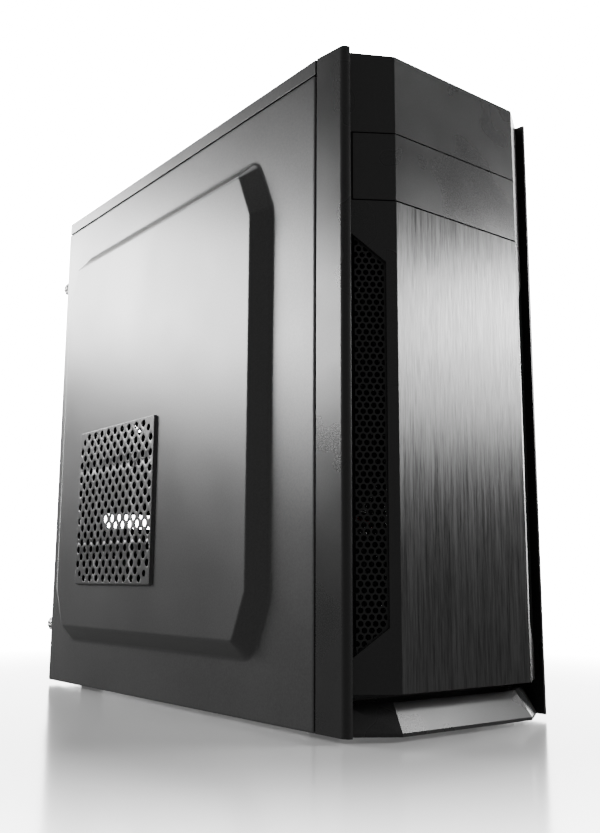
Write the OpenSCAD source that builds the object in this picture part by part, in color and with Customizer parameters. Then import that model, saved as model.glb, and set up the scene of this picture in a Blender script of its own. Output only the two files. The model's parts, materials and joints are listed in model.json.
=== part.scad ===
// Mid-tower desktop computer: steel case, plastic bezel, board, power supply,
// drives and fans. Millimetres, +Z up, the front faces -Y.
// The origin is under the middle of the bounding box, on the floor.

/* [Case] */
// Width over the flat edges of the two side panels
case_w = 172; // [168:1:215]
// Height from the floor to the top cover
case_h = 410; // [406:1:500]
// Length of the steel body without the bezel
steel_l = 361; // [345:1:440]
// Thickness of every steel sheet
sheet = 0.8; // [0.6:0.1:1.2]
// Underside of the base pan above the floor
foot_h = 4; // [4:0.5:12]
// Gap between sheets that slide past each other
slide_gap = 0.5; // [0.3:0.1:0.8]

/* [Side panels] */
// Height of the raised field
field_h = 10.5; // [4:0.5:14]
// Run of the sloped wall around the raised field
field_slope = 11.5; // [8:0.5:20]
// Corner radius at the top of the raised field
field_r = 4; // [2:0.5:12]
// Length of the cut corners of the raised field
field_cut_l = 17.5; // [8:0.5:30]
// Height of the cut corners of the raised field
field_cut_h = 39.5; // [20:0.5:50]
// Side of the square perforated area
vent_w = 122; // [121:0.5:128]
// Height of the perforated area above the raised field
vent_h = 2.2; // [1:0.1:3]
// Radius of one vent hole
vent_hole_r = 2.8; // [2:0.1:3]
// Fan screw spacing in the perforated area
side_fan_pitch = 105; // [100:1:110]
// Radius of a fan screw hole
fan_hole_r = 2.5; // [2:0.1:2.8]

/* [Bezel] */
// Depth of the bezel in front of the steel body
bezel_d = 39; // [36:1:50]
// Depth of the side cheeks
cheek_d = 28; // [24:1:34]
// Thickness of a cheek
cheek_t = 4.5; // [3.5:0.5:6]
// Width of the flat front plate
plate_w = 110; // [100:1:116]
// Thickness of the brushed plate
plate_t = 1.8; // [1.2:0.1:2.5]
// Wall of the plastic mouldings
wall = 2.5; // [2:0.1:3]
// Gap between the bezel and the steel body
bezel_gap = 1.5; // [1:0.1:2]
// Lower edge of the front plate above the floor
plate_z0 = 25.4; // [24:0.5:40]
// Height of the 5.25 inch bay cover
cover_h = 42.2; // [41.3:0.1:42.4]
// Gap around the bay cover
cover_gap = 0.8; // [0.5:0.1:1.2]

/* [Buttons and screws] */
// Radius of the power button
power_r = 8; // [6:0.5:9]
// Radius of the reset button
reset_r = 3.5; // [2.5:0.5:4]
// Radial clearance around a button
button_gap = 0.4; // [0.3:0.05:0.5]
// Radius of a thumbscrew head
thumb_r = 6.5; // [5:0.5:7]
// Length of a thumbscrew head
thumb_l = 9; // [6:0.5:12]
// Radius of a thumbscrew shank
thumb_shank_r = 1.7; // [1.5:0.1:2]

/* [Board and power supply] */
// Edge of the square main board
board_w = 243.84; // [226:0.01:244]
// Height of a board standoff
standoff_h = 6.35; // [6:0.05:8]
// Power supply width
psu_w = 150; // [150:1:152]
// Power supply height
psu_h = 86; // [84:1:88]
// Power supply length
psu_l = 140; // [140:1:160]
// Rear fan frame size
rear_fan_w = 92; // [80:12:92]
// Radial clearance of a fan shaft in its bearing
shaft_gap = 0.05; // [0.02:0.01:0.1]

/* [Hidden] */
$fn = 48;

// Colours
paint_c = "#2b2b2d";
plastic_c = "#1d1d1f";
brushed_c = "#8c8c90";
metal_c = "#b0b2b5";
board_c = "#16261c";
dark_c = "#101012";

// Case planes. Y runs from the front edge of the steel body, which is at y0 of the
// origin, and X from the middle of the case, at x0: only the left panel has the vent.
eps = 0.01;
half_w = case_w / 2;
x0 = vent_h / 2;
y0 = -(steel_l + thumb_l - bezel_d) / 2;
in_x = half_w - sheet;
chassis_x = in_x - slide_gap;
pan_top = foot_h + sheet;
top_under = case_h - sheet;
rear_y = steel_l - sheet - slide_gap;
rear_in = rear_y - sheet;

// Side panel
panel_z0 = foot_h - slide_gap - sheet;
fold_h = 10;
groove = 0.6;
panel_z1 = case_h - fold_h - groove;
panel_fold = 9;
front_fold = 8;
rear_fold = 12;
field_front = 43;
field_rear = 20;
field_bottom = 35.3;
field_top = 35.2;
vent_edge = 1.8;
vent_y = steel_l - 131.5;
vent_z = 143.8;
vent_pitch = 11.25;
thumb_x = half_w - 7;
thumb_z = [49, case_h - 59];

// Bezel planes, with Y negative in front of the steel body
bezel_z0 = 3;
cheek_drop = 2.6;
deck_tilt = atan(cheek_drop / cheek_d);
deck_step = 1.1;
deck_z = case_h - deck_step - bezel_d * tan(deck_tilt);
flank_x = half_w - 8;
flank_d = cheek_d - 4.2;
plate_x = plate_w / 2;
flank_angle = atan((bezel_d - flank_d) / (flank_x - plate_x));
channel_floor = 8;
cover_z0 = case_h - 98.2;
cover_x = flank_x - 1.3;
plate_z1 = cover_z0 - cover_gap;
ramp_top = 20;
ramp_set = 10.5;
ramp_lip = 2;
slot_z0 = 17.5;

// Bay
bay_w = 146.6;
cage_x = bay_w / 2 + sheet;
cage_z0 = cover_z0 - 2;
cage_h = 50;
cage_l = 106;

// Main board frame: u from the rear edge, v down from the top edge, w off its face
board_t = 1.6;
tray_gap = 11.4;
tray_face = in_x - tray_gap - sheet;
board_face = tray_face - standoff_h - board_t;
board_rear = rear_in - 1;
slot_pitch = 20.32;
slot_count = 7;
port_w = 44.45;
port_l = 158.75;
psu_z0 = top_under - 2.7 - psu_h;
board_top = psu_z0 - 16.2;
slot_z = board_top - 165;
port_z1 = board_top + 5.75;
port_z0 = port_z1 - port_l;
port_x1 = board_face + 2.5;
port_x0 = port_x1 - port_w;
board_holes_u = [6.35, 163.83, 233.68];
board_holes_v = [10.16, 165.1, 237.49];
cpu_u = 98;
cpu_v = 70;
sink_w = 90;
sink_base = 6;
sink_h = 34;
socket_h = 4;
cpu_h = 3.5;
sink_x = board_face - socket_h - cpu_h;
cpu_fan_w = 90;
cpu_fan_t = 25;

// Expansion slot openings and covers
slot_x0 = -40.5;
slot_x1 = board_face - 6;
slot_open = 12.4;
ledge_l = 8;
cover_t = 0.8;
ledge_x = slot_x0 - 1.4;
tab_notch = 2.4;
rear_fan_pitch = rear_fan_w - 9.5;

// Rear fan
fan_t = 25;
rear_fan_x = port_x0 - 6 - rear_fan_w / 2;
rear_fan_z = board_top - 44;

// Power supply
psu_y0 = rear_in - psu_l;
psu_wall = 1;
psu_fan_w = 120;
psu_fan_y = psu_y0 + psu_l / 2;
inlet_x = -48;
inlet_w = 27.5;
inlet_h = 20;
inlet_z = psu_z0 + 41;
switch_z = psu_z0 + 68;
switch_w = 13;
switch_l = 19;
rocker_tilt = 8;

// Drives
drive_w = 101.6;
drive_l = 146;
frame_x = half_w - front_fold - 1.5;
drive_h = 26.1;
drive_x = -frame_x + 2 * sheet + 0.3 + drive_w / 2;
drive_cage_h = 76;
drive_z = cage_z0 - drive_cage_h + 8;
ssd_z = drive_z + 40;

// Front controls, in the frame of the sloping deck: y up the slope from its front edge
deck_l = bezel_d / cos(deck_tilt);
power_at = [-38, 19];
reset_at = [-18, 19];
light_at = [[-58, 14], [-58, 24]];
usb_at = [[8, 19], [27, 19]];
audio_at = [[44, 19], [57, 19]];
socket_board_z = -16;
tact_h = 2.6;

// Cable routes, from the rear of the supply to the sockets
main_cable = [[36, 222, 345], [36, 202, 340], [37, 178, 330], [38, 152, 318],
    [38, 136, 302], [38, 131, 282], [38, 131, 262], [39, 131, 240], [44, 131, 222], [49, 131, 218]];
cpu_cable = [[58, 222, 334], [58, 208, 328], [54, 203, 316], [50, 212, 309], [48, 236, 308],
    [46, 262, 308], [42, 282, 306], [42, 292, 300], [48, 292, 295.5], [51, 292, 295.5]];
drive_cable = [[-6, 222, 350], [-6, 202, 345], [-12, 186, 325], [-22, 178, 300],
    [-30, 172, 275], [-34, 166, 256], [-35, 160, 248], [-35, 153, 245]];
sata_cable = [[-60, 152, 245], [-60, 160, 245], [-56, 170, 240], [-40, 178, 222], [-10, 178, 190],
    [20, 162, 162], [40, 136, 144], [52, 114, 133], [58, 105, 128], [60, 108, 127], [60.5, 117, 127]];

// ---- Shared shapes ----

module body_frame() {
    translate([x0, y0, 0])
        children();
}

module slab(x, y, z) {
    translate([x[0], y[0], z[0]])
        cube([x[1] - x[0], y[1] - y[0], z[1] - z[0]]);
}

module both_sides() {
    children();
    mirror([1, 0, 0])
        children();
}

module round_square(w, h, r) {
    translate([-w / 2 + r, -h / 2])
        square([w - 2 * r, h]);
    translate([-w / 2, -h / 2 + r])
        square([w, h - 2 * r]);
    for (i = [-1, 1], j = [-1, 1])
        translate([i * (w / 2 - r), j * (h / 2 - r)])
            circle(r);
}

// Local x runs along Y, local y along Z and local z along +X
module side_plane(x) {
    translate([x, 0, 0])
        rotate([90, 0, 90])
            children();
}

// Local x runs along -X, local y along Z and local z along +Y
module rear_plane(y) {
    translate([0, y, 0])
        rotate([90, 0, 180])
            children();
}

// Staggered holes inside a square of side w, clear of the points in skip
module hole_square(w, pitch, r, skip, clear) {
    n = floor(w / pitch);
    for (row = [-n : n], col = [-n : n]) {
        p = [(col + (abs(row) % 2) / 2) * pitch, row * pitch / 2];
        inside = max(abs(p[0]), abs(p[1])) < w / 2 - r;
        free = min([for (s = skip) norm(p - s)]) > clear;
        if (inside && free)
            translate(p)
                circle(r, $fn = 24);
    }
}

// Staggered holes inside a ring
module hole_disc(r_in, r_out, pitch, r) {
    n = ceil(r_out / pitch) + 1;
    for (row = [-2 * n : 2 * n], col = [-n : n]) {
        p = [(col + (abs(row) % 2) / 2) * pitch, row * pitch * 0.866];
        if (norm(p) < r_out - r && norm(p) > r_in + r)
            translate(p)
                circle(r, $fn = 24);
    }
}

function square_corners(w) = [for (i = [-1, 1], j = [-1, 1]) [i * w / 2, j * w / 2]];

// Round tube along a route; ref is never parallel to the route
function spline_point(p, i, t) =
    let (a = p[max(i - 1, 0)], b = p[i], c = p[i + 1], d = p[min(i + 2, len(p) - 1)])
    0.5 * ((2 * b) + (c - a) * t + (2 * a - 5 * b + 4 * c - d) * t * t
        + (3 * b - a - 3 * c + d) * t * t * t);
function spline(p, steps) = concat(
    [for (i = [0 : len(p) - 2], s = [0 : steps - 1]) spline_point(p, i, s / steps)],
    [p[len(p) - 1]]);
function unit(v) = v / norm(v);

module tube(route, r, sides, ref) {
    p = spline(route, 3);
    n = len(p);
    rings = [for (i = [0 : n - 1])
        let (t = unit(p[min(i + 1, n - 1)] - p[max(i - 1, 0)]),
            a = unit(cross(t, ref)),
            b = cross(t, a))
        for (k = [0 : sides - 1])
            p[i] + r * (cos(360 * k / sides) * a + sin(360 * k / sides) * b)];
    walls = [for (i = [0 : n - 2], k = [0 : sides - 1])
        let (m = (k + 1) % sides)
        [i * sides + k, (i + 1) * sides + k, (i + 1) * sides + m, i * sides + m]];
    ends = [[for (k = [0 : sides - 1]) k],
        [for (k = [sides - 1 : -1 : 0]) (n - 1) * sides + k]];
    polyhedron(points = rings, faces = concat(walls, ends));
}

// Fan frame, axis along z, from z = 0 to t, with the motor plate at z = 0
module fan_frame(w, t, pitch, plate_r) {
    bore_r = w / 2 - 2.5;
    shaft_r = 1.5 + shaft_gap;
    difference() {
        linear_extrude(t)
            difference() {
                round_square(w, w, 4);
                circle(bore_r, $fn = 96);
                for (c = square_corners(pitch))
                    translate(c)
                        circle(2.2);
            }
        translate([0, 0, 4])
            linear_extrude(t - 8)
                for (a = [45 : 90 : 315])
                    rotate(a)
                        translate([w * 0.5 + 1, 0])
                            difference() {
                                square([14, w * 0.34], center = true);
                                translate([w * 0.2071 - 1 - (w - pitch) * 0.7071, 0])
                                    circle(4.4);
                            }
    }
    linear_extrude(3)
        difference() {
            union() {
                circle(plate_r);
                for (a = [20 : 90 : 290])
                    rotate(a)
                        translate([plate_r - 2, -2])
                            square([bore_r - plate_r + 3, 4]);
            }
            circle(shaft_r);
        }
    translate([0, 0, 3])
        linear_extrude(6)
            difference() {
                circle(4);
                circle(shaft_r);
            }
}

// Fan rotor: open hub cup over the bearing, shaft and tilted blades
module fan_rotor(w, t, plate_r, blades) {
    tip_r = w / 2 - 4;
    z_low = 4;
    z_high = t - 1.5;
    difference() {
        translate([0, 0, z_low])
            cylinder(r = plate_r, h = z_high - z_low);
        translate([0, 0, z_low - eps])
            cylinder(r = plate_r - 2, h = z_high - z_low - 2);
    }
    translate([0, 0, 0.5])
        cylinder(r = 1.5, h = z_high - 2.4);
    intersection() {
        difference() {
            translate([0, 0, z_low + 0.5])
                cylinder(r = tip_r, h = z_high - z_low - 1, $fn = 96);
            cylinder(r = plate_r - 1, h = t);
        }
        for (k = [0 : blades - 1])
            rotate(360 * k / blades)
                translate([tip_r / 2 + 5, 0, (z_low + z_high) / 2])
                    rotate([38, 0, 8])
                        cube([tip_r + 6, tip_r * 0.62, 1.6], center = true);
    }
}

// ---- Steel case ----

module field_outline(inset) {
    w = steel_l - field_front - field_rear;
    h = panel_z1 - panel_z0 - field_bottom - field_top;
    r = field_r + field_slope;
    lean = atan(field_cut_l / field_cut_h);
    a = field_cut_h + r * tan(lean / 2);
    b = field_cut_l + r * tan(45 - lean / 2);
    translate([field_front + w / 2, panel_z0 + field_bottom + h / 2])
        hull()
            for (i = [-1, 1], j = [-1, 1]) {
                translate([i * (w / 2 - r), j * (h / 2 - a)])
                    circle(r - inset);
                translate([i * (w / 2 - b), j * (h / 2 - r)])
                    circle(r - inset);
            }
}

module field() {
    hull() {
        linear_extrude(eps)
            field_outline(0);
        translate([0, 0, field_h - eps])
            linear_extrude(eps)
                field_outline(field_slope);
    }
}

module vent_dish() {
    screws = square_corners(side_fan_pitch);
    inner_w = vent_w - 2 * sheet;
    linear_extrude(vent_h + sheet)
        difference() {
            round_square(vent_w, vent_w, vent_edge);
            round_square(inner_w, inner_w, vent_edge - sheet);
        }
    translate([0, 0, vent_h])
        linear_extrude(sheet)
            difference() {
                round_square(inner_w + eps, inner_w + eps, vent_edge - sheet);
                hole_square(vent_w - 2 * vent_edge, vent_pitch, vent_hole_r, screws,
                    vent_hole_r + fan_hole_r + 1);
                for (s = screws)
                    translate(s)
                        circle(fan_hole_r);
            }
}

module side_panel(vented) {
    side_plane(in_x) {
        difference() {
            union() {
                translate([0, panel_z0, 0])
                    cube([steel_l, panel_z1 - panel_z0, sheet]);
                translate([0, 0, sheet])
                    field();
            }
            translate([0, 0, -eps])
                field();
            if (vented)
                translate([vent_y, vent_z, field_h - 1])
                    linear_extrude(sheet + 2)
                        round_square(vent_w - 2 * sheet, vent_w - 2 * sheet, vent_edge - sheet);
        }
        if (vented)
            translate([vent_y, vent_z, field_h])
                vent_dish();
    }
    slab([half_w - panel_fold, in_x], [0, steel_l], [panel_z1 - sheet, panel_z1]);
    slab([half_w - panel_fold, in_x], [0, steel_l], [panel_z0, panel_z0 + sheet]);
    slab([half_w - front_fold, in_x], [0, sheet], [panel_z0 + 16, panel_z1 - 14]);
    difference() {
        slab([half_w - rear_fold, in_x], [steel_l - sheet, steel_l],
            [panel_z0 + sheet, panel_z1 - sheet]);
        for (z = thumb_z)
            translate([thumb_x, steel_l - sheet / 2, z])
                rotate([90, 0, 0])
                    cylinder(r = thumb_shank_r + 0.4, h = 2 * sheet, center = true);
    }
}

module left_panel() {
    color(paint_c)
        body_frame()
            mirror([1, 0, 0])
                side_panel(true);
}

module right_panel() {
    color(paint_c)
        body_frame()
            side_panel(false);
}

module thumbscrew(side, z) {
    shoulder = 2;
    translate([side * thumb_x, steel_l, z])
        rotate([-90, 0, 0]) {
            translate([0, 0, shoulder])
                difference() {
                    cylinder(r = thumb_r, h = thumb_l - shoulder);
                    for (a = [0 : 30 : 330])
                        rotate(a)
                            translate([thumb_r + 0.5, 0, -eps])
                                cylinder(r = 1, h = thumb_l, $fn = 16);
                    translate([0, 0, thumb_l - shoulder - 1.5])
                        linear_extrude(2)
                            for (a = [0, 90])
                                rotate(a)
                                    square([6, 1.2], center = true);
                }
            cylinder(r = thumb_r - 1.5, h = shoulder + eps);
            translate([0, 0, -sheet - slide_gap - sheet - 3])
                cylinder(r = thumb_shank_r, h = sheet + slide_gap + sheet + 3 + eps);
        }
}

module left_screw_upper() {
    color(metal_c)
        body_frame()
            thumbscrew(-1, thumb_z[1]);
}

module left_screw_lower() {
    color(metal_c)
        body_frame()
            thumbscrew(-1, thumb_z[0]);
}

module right_screw_upper() {
    color(metal_c)
        body_frame()
            thumbscrew(1, thumb_z[1]);
}

module right_screw_lower() {
    color(metal_c)
        body_frame()
            thumbscrew(1, thumb_z[0]);
}

module top_cover() {
    color(paint_c)
        body_frame() {
            slab([-half_w, half_w], [0, rear_y], [top_under, case_h]);
            both_sides() {
                slab([in_x, half_w], [0, rear_y], [case_h - fold_h, top_under]);
                slab([half_w - front_fold, in_x], [0, rear_in],
                    [case_h - fold_h, case_h - fold_h + sheet]);
            }
        }
}

module base_pan() {
    rail_h = 10;
    color(paint_c)
        body_frame() {
            difference() {
                slab([-chassis_x, chassis_x], [0, rear_y], [foot_h, pan_top]);
                for (i = [0 : 11])
                    translate([-33 + 6 * i, 60, foot_h - 1])
                        cube([3, 60, sheet + 2]);
            }
            both_sides()
                slab([chassis_x - sheet, chassis_x], [3, rear_in], [pan_top, pan_top + rail_h]);
        }
}

module foot_pads() {
    pad_r = 9;
    color(dark_c)
        body_frame()
            for (x = [-1, 1], y = [22, steel_l - 30])
                translate([x * (half_w - 26), y, 0])
                    rotate_extrude()
                        polygon([[0, 0], [pad_r - 1.5, 0], [pad_r, 1.5], [pad_r, foot_h],
                            [0, foot_h]]);
}

// Openings of the rear panel, seen from behind, so local x is -X
module rear_openings() {
    psu_margin = 5;
    translate([0, psu_z0 + psu_h / 2])
        square([psu_w - 2 * psu_margin, psu_h - 2 * psu_margin], center = true);
    for (s = psu_holes)
        translate([-s[0], s[1]])
            circle(2.2);
    translate([-port_x1 + 2, port_z0 + 2])
        square([port_w - 4, port_l - 4]);
    for (i = [0 : slot_count - 1])
        translate([-slot_x1, slot_z - i * slot_pitch - slot_open / 2])
            square([slot_x1 - slot_x0 + tab_notch, slot_open]);
    translate([-rear_fan_x, rear_fan_z]) {
        hole_disc(0, rear_fan_w / 2 - 3, 6.6, 2.6);
        for (s = square_corners(rear_fan_pitch))
            translate(s)
                circle(2.2);
    }
    for (side = [-1, 1], z = thumb_z)
        translate([side * thumb_x, z])
            circle(thumb_shank_r + 0.15);
    for (i = [0 : 6])
        translate([52 + i * 4.5, pan_top + 14])
            circle(1.5);
}

// Screw positions of a standard power supply, as X and Z
psu_holes = [[psu_w / 2 - 6, psu_z0 + 6], [-psu_w / 2 + 6, psu_z0 + 16],
    [-psu_w / 2 + 6, psu_z0 + 80], [psu_w / 2 - 30, psu_z0 + 80]];

module rear_panel() {
    color(paint_c)
        body_frame() {
            rear_plane(rear_in)
                linear_extrude(sheet)
                    difference() {
                        translate([-chassis_x, pan_top])
                            square([2 * chassis_x, top_under - pan_top]);
                        for (side = [-1, 1])
                            translate([side * half_w, panel_z1 - sheet / 2])
                                square([2 * panel_fold + 2, 3 * sheet], center = true);
                        rear_openings();
                    }
            difference() {
                slab([ledge_x, ledge_x + sheet], [rear_y, rear_y + ledge_l],
                    [slot_z - (slot_count - 0.5) * slot_pitch + 1, slot_z + slot_pitch / 2]);
                for (i = [0 : slot_count - 1])
                    translate([ledge_x, rear_y + ledge_l / 2, slot_z - i * slot_pitch])
                        rotate([0, 90, 0])
                            cylinder(r = 1.6, h = 6, center = true);
            }
        }
}

module slot_covers() {
    cover_w = 18.4;
    tab_w = slot_open - 0.6;
    color(metal_c)
        body_frame()
            for (i = [1 : slot_count - 1])
                translate([0, 0, slot_z - i * slot_pitch]) {
                    slab([ledge_x - cover_t, slot_x1 + 4], [rear_in - cover_t, rear_in],
                        [-cover_w / 2, cover_w / 2]);
                    difference() {
                        slab([ledge_x - cover_t, ledge_x], [rear_in - eps, rear_y + ledge_l],
                            [-tab_w / 2, tab_w / 2]);
                        translate([ledge_x, rear_y + ledge_l / 2, 0])
                            rotate([0, 90, 0])
                                cylinder(r = 1.9, h = 6, center = true);
                    }
                }
}

module slot_screws() {
    color(metal_c)
        body_frame()
            for (i = [1 : slot_count - 1])
                translate([ledge_x - cover_t, rear_y + ledge_l / 2, slot_z - i * slot_pitch])
                    rotate([0, -90, 0])
                        pan_screw(3.2, 2, 1.5, cover_t + sheet + 1.5);
}

// Pan head screw, head above z = 0 and shank below
module pan_screw(head_r, head_h, shank_r, shank_l) {
    difference() {
        cylinder(r = head_r, h = head_h);
        translate([0, 0, head_h - 1])
            linear_extrude(1.5)
                for (a = [0, 90])
                    rotate(a)
                        square([head_r * 1.2, 0.7], center = true);
    }
    translate([0, 0, -shank_l])
        cylinder(r = shank_r, h = shank_l + eps);
}

module front_frame() {
    fan_z = 130;
    color(paint_c)
        body_frame() {
            difference() {
                slab([-frame_x, frame_x], [0, sheet], [pan_top, top_under]);
                slab([-bay_w / 2, bay_w / 2], [-1, 2], [cover_z0, cover_z0 + cover_h]);
                slab([-30, 30], [-1, 2], [cover_z0 + cover_h + 14, top_under - 12]);
                translate([0, 2, fan_z])
                    rotate([90, 0, 0])
                        linear_extrude(3) {
                            hole_disc(0, 58, 8, 3);
                            for (s = square_corners(105))
                                translate(s)
                                    circle(2.5);
                        }
                both_sides()
                    for (z = clip_z)
                        slab([clip_x - 5.5, clip_x + 2.5], [-1, 2], [z - 5.5, z + 5.5]);
            }
            both_sides()
                slab([frame_x - sheet, frame_x], [sheet, 14], [pan_top, top_under]);
        }
}

module board_tray() {
    front = 62;
    lip = 9;
    tray_top = cage_z0 - slide_gap;
    color(paint_c)
        body_frame() {
            difference() {
                slab([tray_face, tray_face + sheet], [front, rear_in], [pan_top, tray_top]);
                // Window behind the processor
                slab([tray_face - 1, tray_face + 2],
                    [board_rear - cpu_u - 45, board_rear - cpu_u + 45],
                    [board_top - cpu_v - 48, board_top - cpu_v + 48]);
                // Cable slots in front of the board
                for (z = [100, 180, 260])
                    slab([tray_face - 1, tray_face + 2], [front + 12, front + 34], [z, z + 50]);
                for (u = board_holes_u, v = board_holes_v)
                    translate([tray_face, board_rear - u, board_top - v])
                        rotate([0, 90, 0])
                            cylinder(r = 1.7, h = 4, center = true);
            }
            slab([tray_face + sheet, tray_face + lip], [front, rear_in], [pan_top, pan_top + sheet]);
            slab([tray_face + sheet, tray_face + 3], [rear_in - sheet, rear_in],
                [pan_top + sheet, tray_top]);
        }
}

module optical_bay_cage() {
    shelf = 14;
    color(paint_c)
        body_frame()
            both_sides() {
                difference() {
                    slab([bay_w / 2, cage_x], [sheet, cage_l], [cage_z0, cage_z0 + cage_h]);
                    for (y = [30, 55, 80])
                        translate([cage_x, y, cage_z0 + 12])
                            rotate([0, 90, 0])
                                cylinder(r = 1.8, h = 4, center = true);
                    slab([bay_w / 2 - 1, cage_x + 1], [22, 88], [cage_z0 + 24, cage_z0 + 40]);
                }
                slab([bay_w / 2 - shelf, bay_w / 2], [sheet, cage_l], [cage_z0, cage_z0 + sheet]);
            }
}

module drive_cage() {
    left = drive_x - drive_w / 2 - 0.3;
    right = drive_x + drive_w / 2 + 0.3;
    z0 = cage_z0 - drive_cage_h;
    length = 118;
    color(paint_c)
        body_frame()
            difference() {
                union() {
                    slab([left - sheet, left], [sheet, length], [z0, cage_z0]);
                    slab([right, right + sheet], [sheet, length], [z0, cage_z0]);
                    slab([left, right], [sheet, length], [cage_z0 - sheet, cage_z0]);
                    slab([left, left + 8], [sheet, length], [z0, z0 + sheet]);
                    slab([right - 8, right], [sheet, length], [z0, z0 + sheet]);
                }
                for (y = [34, 76, 108], z = [drive_z + 6.35, ssd_z + 3])
                    translate([drive_x, y, z])
                        rotate([0, 90, 0])
                            cylinder(r = 1.8, h = 2 * drive_w, center = true);
                slab([left - 2, right + 2], [20, 100], [drive_z + 12, drive_z + 22]);
                slab([left + 18, right - 18], [20, 100], [cage_z0 - 2, cage_z0 + 1]);
            }
}

module hard_drive() {
    label_w = 84;
    color(metal_c)
        body_frame() {
            translate([drive_x, 4, drive_z]) {
                difference() {
                    slab([-drive_w / 2, drive_w / 2], [0, drive_l], [0, drive_h - 2]);
                    slab([-drive_w / 2 + 4, drive_w / 2 - 4], [4, drive_l - 12], [-1, 2.5]);
                    slab([-drive_w / 2 + 8, -8], [drive_l - 6, drive_l + 1], [-1, 7]);
                    for (y = [29, 70.5, 104])
                        translate([0, y, 6.35])
                            rotate([0, 90, 0])
                                cylinder(r = 1.5, h = 2 * drive_w, center = true);
                }
                slab([-label_w / 2, label_w / 2], [10, drive_l - 14], [drive_h - 2, drive_h - 0.6]);
                translate([4, 52, drive_h - 0.6])
                    cylinder(r = 34, h = 0.6, $fn = 96);
            }
        }
}

module solid_state_drive() {
    w = 69.85;
    l = 100;
    h = 7;
    color("#3a3d42")
        body_frame()
            translate([drive_x, 14, ssd_z]) {
                difference() {
                    slab([-w / 2, w / 2], [0, l], [0, h]);
                    slab([-20, 16], [l - 6, l + 1], [1.5, 5.5]);
                    for (y = [14, 90.6])
                        translate([0, y, 3])
                            rotate([0, 90, 0])
                                cylinder(r = 1.5, h = 2 * w, center = true);
                }
                // Adapter rails that carry it between the cage walls
                difference() {
                    union() {
                        slab([-drive_w / 2, drive_w / 2], [8, 90], [-1.2, 0]);
                        both_sides()
                            slab([drive_w / 2 - 1.2, drive_w / 2], [8, 90], [-eps, 8]);
                    }
                    slab([-20, 20], [20, 80], [-2, 1 - eps]);
                    for (y = [20, 62])
                        translate([0, y, 3])
                            rotate([0, 90, 0])
                                cylinder(r = 1.5, h = 2 * drive_w, center = true);
                }
            }
}

// ---- Bezel ----

clip_x = half_w - 18;
clip_z = [40, 205, case_h - 40];
skin_y = -bezel_d + wall + 1.3;
// Inner corners of the flank walls, which are one wall thick
flank_in_y = -flank_d + wall / cos(flank_angle) - wall * tan(flank_angle);
flank_in_x = flank_x - (wall / cos(flank_angle) - flank_d - skin_y) / tan(flank_angle);

module bezel_plan(z0, z1) {
    translate([0, 0, z0])
        linear_extrude(z1 - z0)
            difference() {
                polygon([[-flank_x, -channel_floor], [-flank_x, -flank_d], [-plate_x, -bezel_d],
                    [plate_x, -bezel_d], [flank_x, -flank_d], [flank_x, -channel_floor]]);
                polygon([[-flank_x + wall, 1], [-flank_x + wall, flank_in_y],
                    [-flank_in_x, skin_y], [flank_in_x, skin_y],
                    [flank_x - wall, flank_in_y], [flank_x - wall, 1]]);
            }
}

module cheek() {
    round_r = cheek_t - 0.2;
    linear_extrude(case_h)
        union() {
            translate([half_w - cheek_t, -cheek_d + round_r])
                square([cheek_t, cheek_d - round_r - bezel_gap]);
            translate([half_w - cheek_t, -cheek_d])
                square([cheek_t - round_r, round_r + eps]);
            intersection() {
                translate([half_w - round_r, -cheek_d + round_r])
                    circle(round_r);
                translate([half_w - cheek_t, -cheek_d])
                    square([cheek_t, round_r + eps]);
            }
        }
}

// Half space under a plane that is drop below the top of the cheeks
module under_slope(drop) {
    translate([-case_w, 0, case_h - drop])
        rotate([deck_tilt, 0, 0])
            translate([0, -2 * bezel_d, -2 * case_h])
                cube([2 * case_w, 4 * bezel_d, 2 * case_h]);
}

module deck_frame() {
    translate([0, -bezel_d, deck_z])
        rotate([deck_tilt, 0, 0])
            children();
}

// Places a child in the plane of the left flank: local x runs from its outer edge
// to the front plate, local y is up and local z points out of the bezel
module flank_frame() {
    translate([-flank_x, -flank_d, 0])
        rotate([0, 0, -flank_angle])
            rotate([90, 0, 0])
                children();
}

flank_l = norm([flank_x - plate_x, bezel_d - flank_d]);
intake_in = flank_l - 6.5;
intake_z = [45, 61, case_h - 137, case_h - 120];

module intake_outline(grow) {
    polygon([[0.5 - grow, intake_z[0] - grow], [intake_in + grow, intake_z[1] - grow],
        [intake_in + grow, intake_z[2] + grow], [0.5 - grow, intake_z[3] + grow]]);
}

module plinth_block(inset, z_cut) {
    hull() {
        translate([0, 0, bezel_z0])
            linear_extrude(ramp_lip)
                polygon([[-flank_x + inset, -bezel_gap], [-flank_x + inset, -flank_d + inset],
                    [-plate_x, -bezel_d + inset], [plate_x, -bezel_d + inset],
                    [flank_x - inset, -flank_d + inset], [flank_x - inset, -bezel_gap]]);
        translate([0, 0, ramp_top - z_cut])
            linear_extrude(eps)
                polygon([[-flank_x + inset, -bezel_gap], [-flank_x + inset, -flank_d + ramp_set + inset],
                    [-plate_x + 3, -bezel_d + ramp_set + inset],
                    [plate_x - 3, -bezel_d + ramp_set + inset],
                    [flank_x - inset, -flank_d + ramp_set + inset], [flank_x - inset, -bezel_gap]]);
    }
}

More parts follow.
